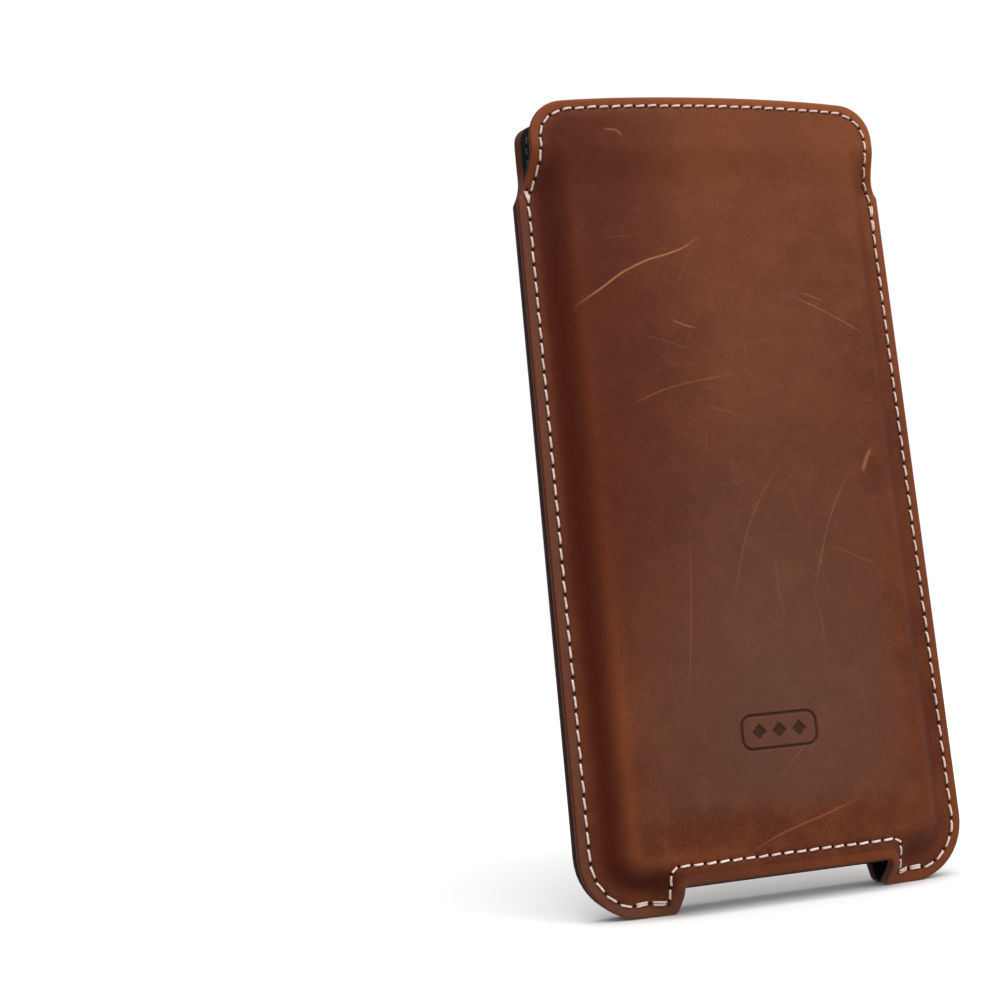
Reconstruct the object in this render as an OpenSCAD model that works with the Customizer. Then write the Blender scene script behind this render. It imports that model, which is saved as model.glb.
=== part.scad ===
// Moulded leather phone sleeve. Two wet-formed leather panels, each backed by a
// suede lining, are sewn together round their flat side flanges. The mouth at the
// top and the push notch between the two feet stay open, so there each panel is
// sewn to its own lining only.
// The front faces -Y, +Z is up, and the origin is on the ground line under the
// middle of the sleeve, in the plane where the two linings meet.

/* [Sleeve] */
// Width across the side flanges
sleeve_w = 88; // [84:1:96]
// Height from the feet to the top of the mouth
sleeve_h = 177.5; // [170:1:190]
// Thickness of one leather panel
leather_t = 2.4; // [1.6:0.1:2.6]
// Thickness of one suede lining
lining_t = 0.5; // [0.4:0.1:1]
// Flat width of the sewn flange
flange_w = 3.6; // [3.2:0.1:4.4]
// Width of the moulded wall between the flange and the flat of a panel
wall_w = 7.5; // [6.5:0.5:9]
// Rise of the front panel above its flange
front_rise = 5.2; // [4:0.1:5.6]
// Rise of the back panel above its flange
back_rise = 4.2; // [3.4:0.1:5.6]

/* [Mouth] */
// Height at which the side seams end
shoulder_z = 156; // [150:1:160]
// Height over which the sides step in above the shoulder
shoulder_h = 10; // [5:0.5:12]
// Width across the ears of the mouth
mouth_w = 82.8; // [80:0.2:83.6]
// Radius of the corners of the front panel at the mouth
front_corner_r = 8; // [5:0.5:10]
// Radius of the corners of the back panel at the mouth
back_corner_r = 5; // [4:0.5:10]
// Height of the gentle arch of the front panel's top edge
front_arch = 1.4; // [0:0.2:3]
// Height of the gentle arch of the back panel's top edge
back_arch = 0.4; // [0:0.2:3]
// Rise of both panels at the middle of the mouth
mouth_rise = 6.4; // [5.6:0.1:7]
// Rise of the front panel at its ears
front_ear_rise = 5.1; // [2:0.1:6]
// Rise of the back panel at its ears
back_ear_rise = 3.4; // [0.5:0.1:5]

/* [Feet and notch] */
// Radius of the outer corners of the feet
foot_r = 13; // [10:0.5:15]
// Extra flange height at the bottom of the feet
foot_flange = 1; // [0:0.1:2]
// Width of the notch between the feet at the ground
notch_foot_w = 47.2; // [44:0.2:50]
// Width of the notch at its top
notch_w = 46.8; // [42:0.2:49]
// Height of the notch
notch_h = 6.2; // [5:0.1:8]
// Rise of the back panel over the notch, where it is left nearly flat
back_notch_rise = 2; // [0.4:0.1:4]

/* [Stitching] */
// Thickness of the thread
thread_d = 0.5; // [0.4:0.05:0.9]
// Distance between holes along the side seams
seam_pitch = 3.5; // [3:0.1:4]
// Distance between holes round the mouth and the notch
edge_pitch = 2.85; // [2.5:0.05:3.5]
// Inset of the side seams and the mouth rows from the edge
stitch_inset = 2.3; // [2:0.1:2.6]
// Height of the stitches along the bottom of a foot
foot_stitch_z = 2.9; // [2.5:0.1:3.3]
// Inset of the notch rows from the sides of the notch
notch_side_inset = 2.6; // [2.2:0.1:3]
// Height of the notch rows above the edge of the notch
notch_top_inset = 4.2; // [3:0.1:5]

/* [Hidden] */

half_w = sleeve_w / 2;
mouth_half = mouth_w / 2;
notch_half = notch_w / 2;
notch_foot_half = notch_foot_w / 2;
panel_t = leather_t + lining_t;

// The wall's profile moves inwards layer by layer, so that leather and lining
// keep their thickness on the slope.
wall_shift = 0.46;
// The notch lifts open over this width beside it, and over this height
notch_blend_w = 6.4;
notch_blend_h = 7;
// The panels part over this height above the shoulder, from this far above it
mouth_blend_h = 10;
mouth_blend_z = 0.5;

// Height over which the back panel lifts from its notch rise to its full rise
notch_lift_h = 44;
// How sharply the ears of the mouth curl in: the power of x that the rise falls with
front_curl = 3.5;
back_curl = 5;

// Shape of a panel: [rise of the flat, rise over the notch, rise of the ears, curl of the
// ears, radius of the corners at the mouth, arch of the top edge]
front = [front_rise, front_rise, front_ear_rise, front_curl, front_corner_r, front_arch];
back = [back_rise, back_notch_rise, back_ear_rise, back_curl, back_corner_r, back_arch];

// ---- Outline of a panel ----

// Drop of a rounded corner at x, for a side at half and a corner of radius r
function corner_drop(x, half, r) =
    let (s = min(r, max(0, abs(x) - (half - r)))) r - sqrt(r * r - s * s);

// Half of the width at height z
function side_x(z) =
    let (t = min(1, max(0, (z - shoulder_z) / shoulder_h)))
    mouth_half + (half_w - mouth_half) * pow(1 - t, 2);

// Height of the top edge at x
function top_z(x, side) =
    sleeve_h - side[5] * pow(x / mouth_half, 2) - corner_drop(x, mouth_half, side[4]);

// Height of the bottom edge at x, with the feet and the notch between them
function low_z(x) =
    let (t = (notch_foot_half - abs(x)) / (notch_foot_half - notch_half))
    max(corner_drop(x, half_w, foot_r), notch_h * min(1, max(0, t)));

// ---- Moulded form ----

function smooth(t) = let (c = min(1, max(0, t))) c * c * (3 - 2 * c);
function mix(a, b, t) = a + (b - a) * t;

// 0 where the panels are sewn together, 1 where they stand fully apart at the mouth
function parting(z) = smooth((z - shoulder_z - mouth_blend_z) / mouth_blend_h);

// Distance of a point from the sewn outline, round the corners of the feet
function edge_distance(x, z) =
    let (qx = abs(x) - (half_w - foot_r), qz = foot_r + foot_flange - z)
    foot_r - norm([max(qx, 0), max(qz, 0)]) - min(0, max(qx, qz));

// Rise of a panel above its flange, for the layer face at depth under the outside
function rise(x, z, side, depth) =
    let (start = flange_w + wall_shift * depth,
         sewn = smooth((edge_distance(x, z) - start) / wall_w),
         parted = smooth((half_w - abs(x) - start) / wall_w),
         notch_part = smooth((notch_foot_half + notch_blend_w - abs(x)) / notch_blend_w)
                      * smooth((z + 1) / notch_blend_h),
         flat = mix(side[1], side[0], smooth(z / notch_lift_h)),
         body = flat * mix(sewn, parted, notch_part),
         mouth = mouth_rise - (mouth_rise - side[2]) * pow(abs(x) / mouth_half, side[3]))
    mix(body, mouth, parting(z));

// Distance in front of the middle plane, for the layer face at depth
function face_y(x, z, side, depth) = panel_t - depth + rise(x, z, side, depth);

// Step inwards of the cut edge of an ear at depth, as the cut is square to the curled ear
function ear_step(z, side, depth) = depth * side[3] * (mouth_rise - side[2]) / mouth_half * parting(z);

// ---- Stations of the grid that forms every layer ----

notch_steps = 4;
corner_steps = 8;
base_steps = 9;
base_zone = 30;
middle_steps = 5;
middle_top = shoulder_z - 5;
mouth_steps = 8;
mouth_zone = sleeve_h - shoulder_z + 3;

half_columns = concat(
    [for (i = [1 : notch_steps]) notch_half * i / notch_steps],
    [notch_foot_half, (notch_foot_half + half_w - foot_r) / 2],
    [for (i = [0 : corner_steps]) half_w - foot_r + foot_r * sin(90 * i / corner_steps)]);
columns = concat([for (i = [len(half_columns) - 1 : -1 : 0]) -half_columns[i]], [0], half_columns);
rows = concat(
    [for (i = [0 : base_steps]) base_zone * pow(i / base_steps, 1.5)],
    [for (i = [1 : middle_steps]) mix(base_zone, middle_top, i / middle_steps)],
    [for (i = [0 : mouth_steps]) mix(shoulder_z, sleeve_h, i / mouth_steps)]);
nc = len(columns);
nr = len(rows);

// Place [x, z] of one grid point: the rows follow the bottom edge and the top edge
function grid_xz(c, r, side, depth) =
    let (drop = sleeve_h - top_z(c * mouth_half / half_w, side),
         z = r + low_z(c) * max(0, 1 - r / base_zone) - drop * max(0, 1 - (sleeve_h - r) / mouth_zone))
    [c * (side_x(z) - ear_step(z, side, depth)) / half_w, z];

// ---- Layers ----

// One closed sheet of the front half, between two depths under its outside
module layer(side, outer, inner) {
    n = nc * nr;
    points = [for (depth = [outer, inner], r = rows, c = columns)
        let (p = grid_xz(c, r, side, depth)) [p[0], -face_y(p[0], p[1], side, depth), p[1]]];
    outside = [for (j = [0 : nr - 2], i = [0 : nc - 2], upper = [0, 1])
        let (a = j * nc + i, b = a + nc) upper == 1 ? [a, b, b + 1] : [a, b + 1, a + 1]];
    inside = [for (f = outside) [f[2] + n, f[1] + n, f[0] + n]];
    rim = concat(
        [for (i = [0 : nc - 2]) i],
        [for (j = [0 : nr - 2]) j * nc + nc - 1],
        [for (i = [nc - 1 : -1 : 1]) (nr - 1) * nc + i],
        [for (j = [nr - 1 : -1 : 1]) j * nc]);
    edge = [for (k = [0 : len(rim) - 1], upper = [0, 1])
        let (a = rim[k], b = rim[(k + 1) % len(rim)]) upper == 1 ? [a, b, b + n] : [a, b + n, a + n]];
    polyhedron(concat(points), concat(outside, inside, edge));
}

// ---- Stitching ----

thread_r = thread_d / 2;
// Gap that keeps the thread clear of the leather
thread_gap = 0.1;
// Part of the distance between two holes that the thread covers
stitch_cover = 0.7;
// Sideways slant of a stitch
stitch_slant = 0.2;
// Tapered length at each end of a stitch
stitch_taper = 0.25;
// Stitches sewn twice at each end of a side seam, and how far beside the first ones
tack_count = 2;
tack_shift = 0.6;
// Angle between the points of a curved stretch of a row
arc_step = 15;

function path_length(p) =
    len(p) < 2 ? 0 : norm(p[1] - p[0]) + path_length([for (i = [1 : len(p) - 1]) p[i]]);
function point_at(p, s, i = 0) =
    let (d = norm(p[i + 1] - p[i]))
    s <= d || i == len(p) - 2 ? p[i] + (p[i + 1] - p[i]) * s / d : point_at(p, s - d, i + 1);
function arc(cx, cz, r, a0, a1) =
    let (n = ceil(abs(a1 - a0) / arc_step))
    [for (i = [0 : n]) let (a = mix(a0, a1, i / n)) [cx + r * cos(a), cz + r * sin(a)]];

// Right-hand side seam, from the shoulder round the corner to the end of the foot
row_end_z = shoulder_z - 1.5;
foot_end_x = notch_foot_half + notch_side_inset;
foot_arc_x = half_w - foot_r;
seam_path = concat([[half_w - stitch_inset, row_end_z]],
    arc(foot_arc_x, foot_r, foot_r - stitch_inset, 0, -75),
    [[foot_arc_x, foot_stitch_z], [foot_end_x, foot_stitch_z - 0.3]]);
// The left-hand seam starts one stitch higher, beside the end of the mouth row
left_seam_top = [half_w - stitch_inset + 0.1, row_end_z + seam_pitch];
left_seam_path = mirrored(concat([left_seam_top], seam_path));

// Right-hand half of the mouth row, from the middle down to the shoulder
mouth_ear_x = mouth_half - stitch_inset;
mouth_top = sleeve_h - stitch_inset;
function mouth_half_path(side) =
    let (r = side[4] - stitch_inset)
    concat(
        [for (i = [0 : 4]) let (x = (mouth_ear_x - r) * i / 4)
            [x, mouth_top - side[5] * pow(x / mouth_half, 2)]],
        arc(mouth_ear_x - r, mouth_top - side[5] - r, r, 75, 0),
        [for (i = [0 : 6]) let (z = mix(shoulder_z + shoulder_h, row_end_z, i / 6))
            [side_x(z) - stitch_inset, z]]);

// Right-hand half of the notch row, from the middle to the end of the foot
notch_row_z = notch_h + notch_top_inset;
notch_half_path = [[0, notch_row_z], [notch_half + notch_side_inset, notch_row_z],
    [foot_end_x, foot_stitch_z + 0.4]];

function both_sides(p) =
    concat([for (i = [len(p) - 1 : -1 : 1]) [-p[i][0], p[i][1]]], p);
function mirrored(p) = [for (q = p) [-q[0], q[1]]];
function shifted(p, d) = [for (q = p) [q[0] - sign(q[0]) * d, q[1]]];

// One stitch of thread between two points in space, tapered where it dives
module stitch(a, b) {
    v = b - a;
    l = norm(v);
    translate(a) rotate([0, acos(v[2] / l), atan2(v[1], v[0])])
        rotate_extrude($fn = 24)
            polygon([[0, 0], [thread_r * 0.55, 0], [thread_r, stitch_taper],
                     [thread_r, l - stitch_taper], [thread_r * 0.55, l], [0, l]]);
}

// Row of stitches along a path, on the layer face at depth. outward is 1 on the
// outside of a panel and -1 on the inside. The first stitches can be counted off.
module stitch_row(path, pitch, side, depth, outward = 1, first = 0, count = 1000) {
    total = path_length(path);
    n = round(total / pitch);
    step = total / n;
    lift = outward * (thread_r + thread_gap);
    ends = [(1 - stitch_cover) / 2, (1 + stitch_cover) / 2];
    for (k = [first : min(n, first + count) - 1]) {
        p = [for (e = ends) point_at(path, (k + e) * step)];
        along = (p[1] - p[0]) / norm(p[1] - p[0]);
        across = [-along[1], along[0]] * stitch_slant / 2;
        q = [p[0] - across, p[1] + across];
        stitch([q[0][0], -face_y(q[0][0], q[0][1], side, depth) - lift, q[0][1]],
               [q[1][0], -face_y(q[1][0], q[1][1], side, depth) - lift, q[1][1]]);
    }
}

// Side seam on one face of the sleeve, sewn back over itself at both ends
module seam_row(path, side) {
    n = round(path_length(path) / seam_pitch);
    stitch_row(path, seam_pitch, side, 0);
    stitch_row(shifted(path, tack_shift), seam_pitch, side, 0, count = tack_count);
    stitch_row([for (q = path) q + [0, tack_shift]], seam_pitch, side, 0, first = n - tack_count);
}

module to_back() { mirror([0, 1, 0]) children(); }

// ---- Sub-parts ----

module front_leather() { color("sienna") layer(front, 0, leather_t); }
module back_leather() { color("sienna") to_back() layer(back, 0, leather_t); }
module front_lining() { color("dimgray") layer(front, leather_t, panel_t); }
module back_lining() { color("dimgray") to_back() layer(back, leather_t, panel_t); }

module left_seam_needle_thread() { color("linen") seam_row(left_seam_path, front); }
module right_seam_needle_thread() { color("linen") seam_row(seam_path, front); }
module left_seam_bobbin_thread() { color("linen") to_back() seam_row(left_seam_path, back); }
module right_seam_bobbin_thread() { color("linen") to_back() seam_row(seam_path, back); }

module mouth_row(side, depth, outward) {
    color("linen") stitch_row(both_sides(mouth_half_path(side)), edge_pitch, side, depth, outward);
}
module notch_row(side, depth, outward) {
    color("linen") stitch_row(both_sides(notch_half_path), edge_pitch, side, depth, outward);
}
module front_mouth_needle_thread() { mouth_row(front, 0, 1); }
module front_mouth_bobbin_thread() { mouth_row(front, panel_t, -1); }
module back_mouth_needle_thread() { to_back() mouth_row(back, 0, 1); }
module back_mouth_bobbin_thread() { to_back() mouth_row(back, panel_t, -1); }
module front_notch_needle_thread() { notch_row(front, 0, 1); }
module front_notch_bobbin_thread() { notch_row(front, panel_t, -1); }
module back_notch_needle_thread() { to_back() notch_row(back, 0, 1); }
module back_notch_bobbin_thread() { to_back() notch_row(back, panel_t, -1); }

front_leather();
back_leather();
front_lining();
back_lining();
left_seam_needle_thread();
left_seam_bobbin_thread();
right_seam_needle_thread();
right_seam_bobbin_thread();
front_mouth_needle_thread();
front_mouth_bobbin_thread();
back_mouth_needle_thread();
back_mouth_bobbin_thread();
front_notch_needle_thread();
front_notch_bobbin_thread();
back_notch_needle_thread();
back_notch_bobbin_thread();
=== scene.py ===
"""A moulded leather phone sleeve, standing on its two feet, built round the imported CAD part."""

import math

import bpy
import numpy as np
from mathutils import Matrix, Vector, geometry, kdtree


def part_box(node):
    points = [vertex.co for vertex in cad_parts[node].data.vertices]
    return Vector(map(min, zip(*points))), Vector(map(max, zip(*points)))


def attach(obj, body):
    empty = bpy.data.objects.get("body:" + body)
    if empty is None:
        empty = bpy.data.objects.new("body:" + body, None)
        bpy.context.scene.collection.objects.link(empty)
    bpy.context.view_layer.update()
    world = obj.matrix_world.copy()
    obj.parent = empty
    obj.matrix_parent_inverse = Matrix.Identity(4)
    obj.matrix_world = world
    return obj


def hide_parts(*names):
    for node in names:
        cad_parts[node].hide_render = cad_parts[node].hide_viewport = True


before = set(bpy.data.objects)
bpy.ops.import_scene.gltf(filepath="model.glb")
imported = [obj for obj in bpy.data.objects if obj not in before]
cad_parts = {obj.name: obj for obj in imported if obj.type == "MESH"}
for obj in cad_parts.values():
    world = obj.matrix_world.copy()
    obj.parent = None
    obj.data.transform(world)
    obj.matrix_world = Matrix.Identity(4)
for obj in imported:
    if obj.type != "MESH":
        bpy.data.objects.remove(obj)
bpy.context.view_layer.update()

# ---------------------------------------------------------------- sizes, in millimetres
# The lowest and highest corners of the front panel and its lining give the driving sizes.
MM = 0.001
panel_low, panel_high = (np.array(corner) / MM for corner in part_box("front_leather"))
lining_low = np.array(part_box("front_lining")[0]) / MM

HEIGHT = panel_high[2]
HALF_W = panel_high[0]
LEATHER_T = lining_low[1] - panel_low[1]
LINING_T = 0.5
PANEL_T = LEATHER_T + LINING_T
MOUTH_RISE = -panel_low[1] - PANEL_T

FLANGE_W = 3.6
WALL_W = 7.5
WALL_SHIFT = 0.46
SHOULDER_Z = 156.0
SHOULDER_H = 10.0
SHOULDER_R = 1.2
MOUTH_HALF = 41.4
MOUTH_BLEND_H = 10.0
MOUTH_BLEND_Z = 0.5
FOOT_R = 13.0
FOOT_FLANGE = 1.0
FOOT_INNER_R = 1.2
NOTCH_FOOT_HALF = 23.6
NOTCH_HALF = 23.4
NOTCH_H = 6.2
NOTCH_R = 0.7
NOTCH_BLEND_W = 6.4
NOTCH_BLEND_H = 7.0
NOTCH_LIFT_H = 44.0

SEAM_PITCH = 3.5
EDGE_PITCH = 2.85
THREAD_R = 0.25
STITCH_INSET = 2.3
FOOT_STITCH_Z = 2.9
NOTCH_SIDE_INSET = 2.6
NOTCH_TOP_INSET = 4.2

EDGE_R = 0.7
OUTLINE_STEP = 0.36


# ---------------------------------------------------------------- the moulded form
def smooth(t):
    c = np.clip(t, 0.0, 1.0)
    return c * c * (3.0 - 2.0 * c)


def mix(a, b, t):
    return a + (b - a) * t


def bell(d, width):
    """1 at d = 0, falling away over width."""
    return np.exp(-((d / width) ** 2))


def side_x(z):
    """Half of the sleeve's width at height z."""
    t = np.clip((z - SHOULDER_Z) / SHOULDER_H, 0.0, 1.0)
    return MOUTH_HALF + (HALF_W - MOUTH_HALF) * (1.0 - t) ** 2


def edge_distance(x, z):
    """Distance from the sewn outline, round the corners of the feet."""
    qx = np.abs(x) - (HALF_W - FOOT_R)
    qz = FOOT_R + FOOT_FLANGE - z
    outside = np.hypot(np.maximum(qx, 0.0), np.maximum(qz, 0.0))
    return FOOT_R - outside - np.minimum(0.0, np.maximum(qx, qz))


def parting(z):
    """0 where the panels are sewn together, 1 where they stand fully apart at the mouth."""
    return smooth((z - SHOULDER_Z - MOUTH_BLEND_Z) / MOUTH_BLEND_H)


def rise(x, z, form, depth):
    """Rise of a panel above its flange, for the face at depth under its outside."""
    start = FLANGE_W + WALL_SHIFT * depth
    sewn = smooth((edge_distance(x, z) - start) / WALL_W)
    parted = smooth((HALF_W - np.abs(x) - start) / WALL_W)
    notch = smooth((NOTCH_FOOT_HALF + NOTCH_BLEND_W - np.abs(x)) / NOTCH_BLEND_W)
    notch = notch * smooth((z + 1.0) / NOTCH_BLEND_H)
    body = mix(form.notch_rise, form.flat_rise, smooth(z / NOTCH_LIFT_H)) * mix(sewn, parted, notch)
    mouth = MOUTH_RISE - (MOUTH_RISE - form.ear_rise) * (np.abs(x) / MOUTH_HALF) ** form.curl
    return mix(body, mouth, parting(z))


def face_y(x, z, form, depth):
    """Distance from the middle plane to the face at depth under the outside."""
    return PANEL_T - depth + rise(x, z, form, depth)


def ear_stepped(points, form, depth):
    """Points of the face at depth. The cut edges of the ears are square to the curled ears, so
    deeper faces end further in."""
    x, z = points.T
    step = depth * form.curl * (MOUTH_RISE - form.ear_rise) / MOUTH_HALF * parting(z)
    return np.stack([x * (1 - step / side_x(z)), z], axis=1)


# ---------------------------------------------------------------- outlines and paths
def rounded(corners, arc_step=math.radians(8)):
    """A line through corners (x, z, radius), with each corner that has a radius rounded."""
    path = []
    for i, (x, z, r) in enumerate(corners):
        here = np.array((x, z))
        if r == 0:
            path.append(here)
            continue
        to_last = np.array(corners[i - 1][:2]) - here
        to_next = np.array(corners[i + 1][:2]) - here
        to_last = to_last / np.linalg.norm(to_last)
        to_next = to_next / np.linalg.norm(to_next)
        half_angle = math.acos(np.clip(to_last @ to_next, -1, 1)) / 2
        bisector = to_last + to_next
        centre = here + bisector / np.linalg.norm(bisector) * r / math.sin(half_angle)
        start = here + to_last * r / math.tan(half_angle) - centre
        turn = math.pi - 2 * half_angle
        if to_last[0] * to_next[1] - to_last[1] * to_next[0] > 0:
            turn = -turn
        steps = max(2, math.ceil(abs(turn) / arc_step))
        for k in range(steps + 1):
            a = turn * k / steps
            spun = (start[0] * math.cos(a) - start[1] * math.sin(a),
                    start[0] * math.sin(a) + start[1] * math.cos(a))
            path.append(centre + spun)
    return np.array(path)


def lengths(path):
    return np.concatenate([[0], np.cumsum(np.linalg.norm(np.diff(path, axis=0), axis=1))])


def along(path, s):
    """The points at distances s along a path."""
    at = lengths(path)
    return np.stack([np.interp(s, at, path[:, 0]), np.interp(s, at, path[:, 1])], axis=1)


def resampled(path, step):
    total = lengths(path)[-1]
    return along(path, np.linspace(0, total, max(2, round(total / step)) + 1))


def flipped(path):
    return path * (-1, 1)


def both_sides(half):
    """A path from the middle to the right, continued to the left through its mirror image."""
    return np.concatenate([flipped(half)[:0:-1], half])


# How far from the middle the arch of the top edge starts to be followed
TOP_ARCH_X = 30


def outline(corner_r, arch):
    """The cut edge of a panel as a closed loop, anticlockwise seen from the front."""
    ear_z = np.linspace(SHOULDER_Z, SHOULDER_Z + SHOULDER_H, 8)[1:]
    ear = [(float(side_x(z)), z, 0) for z in ear_z]
    top = [(x, HEIGHT - arch * (x / MOUTH_HALF) ** 2, 0) for x in np.linspace(TOP_ARCH_X, 0, 7)]
    half = rounded([(0, NOTCH_H, 0), (NOTCH_HALF, NOTCH_H, NOTCH_R),
                    (NOTCH_FOOT_HALF, 0, FOOT_INNER_R), (HALF_W, 0, FOOT_R),
                    (HALF_W, SHOULDER_Z, SHOULDER_R), *ear,
                    (MOUTH_HALF, HEIGHT - arch, corner_r), *top])
    right = resampled(half, OUTLINE_STEP)
    return np.concatenate([right, flipped(right)[-2:0:-1]])


def inward(loop, t):
    """The points of a closed loop, moved inwards by t."""
    tangent = np.roll(loop, -1, axis=0) - np.roll(loop, 1, axis=0)
    tangent /= np.linalg.norm(tangent, axis=1)[:, None]
    normal = np.stack([-tangent[:, 1], tangent[:, 0]], axis=1)
    return loop + normal * np.reshape(t, (-1, 1))


# ---------------------------------------------------------------- rows of stitches
# The rows end this far under the shoulder
ROW_END_DROP = 1.5
# The lowest stitches of a foot leave room for each other by these heights
SEAM_END_DROP = 0.3
NOTCH_END_LIFT = 0.4
# The top stitch of the left-hand seam stands this much further out than the rest of the seam
LEFT_TOP_OUT = 0.1

FOOT_END_X = NOTCH_FOOT_HALF + NOTCH_SIDE_INSET
FOOT_ARC_X = HALF_W - FOOT_R
SEAM_R = FOOT_R - STITCH_INSET
ROW_END_Z = SHOULDER_Z - ROW_END_DROP
SEAM_PATH = np.array(
    [(HALF_W - STITCH_INSET, ROW_END_Z)]
    + [(FOOT_ARC_X + SEAM_R * math.cos(a), FOOT_R + SEAM_R * math.sin(a))
       for a in np.radians(np.linspace(0, -75, 12))]
    + [(FOOT_ARC_X, FOOT_STITCH_Z), (FOOT_END_X, FOOT_STITCH_Z - SEAM_END_DROP)])
# The left-hand seam starts one stitch higher, beside the end of the mouth row.
LEFT_SEAM_PATH = flipped(np.array(
    [(HALF_W - STITCH_INSET + LEFT_TOP_OUT, ROW_END_Z + SEAM_PITCH), *SEAM_PATH]))
NOTCH_ROW_Z = NOTCH_H + NOTCH_TOP_INSET
NOTCH_PATH = both_sides(np.array(
    [(0, NOTCH_ROW_Z), (NOTCH_HALF + NOTCH_SIDE_INSET, NOTCH_ROW_Z),
     (FOOT_END_X, FOOT_STITCH_Z + NOTCH_END_LIFT)]))


def mouth_path(corner_r, arch):
    ear_x = MOUTH_HALF - STITCH_INSET
    top = HEIGHT - STITCH_INSET
    r = corner_r - STITCH_INSET
    return both_sides(np.array(
        [(x, top - arch * (x / MOUTH_HALF) ** 2) for x in np.linspace(0, ear_x - r, 6)]
        + [(ear_x - r + r * math.cos(a), top - arch - r + r * math.sin(a))
           for a in np.radians(np.linspace(75, 0, 8))]
        + [(float(side_x(z)) - STITCH_INSET, z)
           for z in np.linspace(SHOULDER_Z + SHOULDER_H, ROW_END_Z, 8)]))


def stitch_ends(path, pitch):
    """The places of the holes along a row, as distances along its path."""
    total = lengths(path)[-1]
    return np.linspace(0, total, round(total / pitch) + 1)


def tree_of(points):
    tree = kdtree.KDTree(len(points))
    for i, (x, z) in enumerate(points):
        tree.insert((x, z, 0), i)
    tree.balance()
    return tree


def nearest(tree, points):
    """Distance from each point to the nearest one in the tree."""
    return np.array([tree.find((x, z, 0))[2] for x, z in points])


class Form:
    """The shape of one panel and its lining, with its cut edge and its rows of stitches. sign is
    the side of the middle plane that it is on, and curl the power of x that its ears bend with."""

    def __init__(self, name, sign, flat_rise, notch_rise, ear_rise, curl, corner_r, arch):
        self.name, self.sign = name, sign
        self.flat_rise, self.notch_rise = flat_rise, notch_rise
        self.ear_rise, self.curl = ear_rise, curl
        self.corner_r, self.arch = corner_r, arch
        self.loop = outline(corner_r, arch)
        self.rows = {"left_seam": (LEFT_SEAM_PATH, SEAM_PITCH),
                     "right_seam": (SEAM_PATH, SEAM_PITCH),
                     "mouth": (mouth_path(corner_r, arch), EDGE_PITCH),
                     "notch": (NOTCH_PATH, EDGE_PITCH)}
        self.holes = np.concatenate([along(path, stitch_ends(path, pitch))
                                     for path, pitch in self.rows.values()])
        self.loop_tree = tree_of(resampled(np.concatenate([self.loop, self.loop[:1]]), 0.06))
        self.hole_tree = tree_of(self.holes)
        self.row_tree = tree_of(np.concatenate([resampled(path, 0.15)
                                                for path, _ in self.rows.values()]))


FRONT = Form("front", sign=-1, flat_rise=5.2, notch_rise=5.2, ear_rise=5.1, curl=3.5,
             corner_r=8.0, arch=1.4)
BACK = Form("back", sign=1, flat_rise=4.2, notch_rise=2.0, ear_rise=3.4, curl=5.0,
            corner_r=5.0, arch=0.4)


# ---------------------------------------------------------------- scratches and emblem
# The larger scratches on the front panel, as (points, half width, strength)
SCRATCHES = [
    ([(-34.5, 129.6), (-28.9, 133.1), (-23.5, 136.7), (-17.7, 139.4), (-12.4, 140.9), (-8.2, 142.5),
      (-5.1, 144.6)], 0.17, 0.66),
    ([(16.4, 130.7), (22.5, 127.6), (28.2, 124.3), (32.6, 121.4)], 0.13, 0.32),
    ([(18.2, 131.6), (21.0, 130.6), (23.8, 129.3)], 0.13, 0.26),
    ([(-24.6, 169.6), (-21.8, 169.3), (-20.4, 167.8)], 0.2, 0.4),
    ([(-7.4, 11.9), (-1.2, 14.4), (10.3, 17.6), (17.5, 19.7)], 0.16, 0.24),
    ([(30.8, 95.1), (29.2, 92.5), (28.1, 90.0)], 0.34, 0.42),
    ([(-24.3, 107.1), (-20.1, 109.0), (-12.9, 111.2), (-0.2, 113.2)], 0.14, 0.22),
    ([(-13.1, 125.8), (-10.2, 124.6), (-7.5, 123.9)], 0.17, 0.34),
    ([(-14.5, 77.2), (-15.3, 67.6), (-16.4, 58.2), (-18.4, 44.7)], 0.12, 0.16),
    ([(8.3, 92.4), (3.2, 86.0), (-1.9, 76.4), (-5.8, 63.7)], 0.12, 0.18),
    ([(25.0, 90.4), (20.7, 83.9), (17.0, 76.3), (13.0, 64.5)], 0.13, 0.22),
    ([(4.6, 72.7), (4.6, 65.1), (5.7, 59.0)], 0.12, 0.14),
    ([(12.0, 65.7), (13.7, 59.0), (13.8, 52.5)], 0.12, 0.14),
]
HAIRLINES = 28


def hairlines():
    """Short, faint, slightly bent scratches in all directions over the front panel."""
    rng = np.random.default_rng(17)
    lines = []
    for _ in range(HAIRLINES):
        middle = rng.uniform((-31, 16), (31, 158))
        angle = rng.uniform(0, math.pi)
        length = rng.uniform(3, 13)
        forward = np.array((math.cos(angle), math.sin(angle)))
        across = np.array((-forward[1], forward[0]))
        bend = rng.uniform(-0.03, 0.03) * length
        reach = forward * length / 2
        corners = [middle - reach, middle + across * bend, middle + reach]
        lines.append((corners, rng.uniform(0.08, 0.13), rng.uniform(0.04, 0.15)))
    return lines


EMBLEM_AT = (1.0, 35.6)
EMBLEM_SIZE = (17.0, 7.0)
EMBLEM_R = 2.2
EMBLEM_LINE = 0.42
LOZENGE_PITCH = 4.6
LOZENGE_HALF = 1.7
LOZENGE_SLOPE = 1.2


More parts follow.
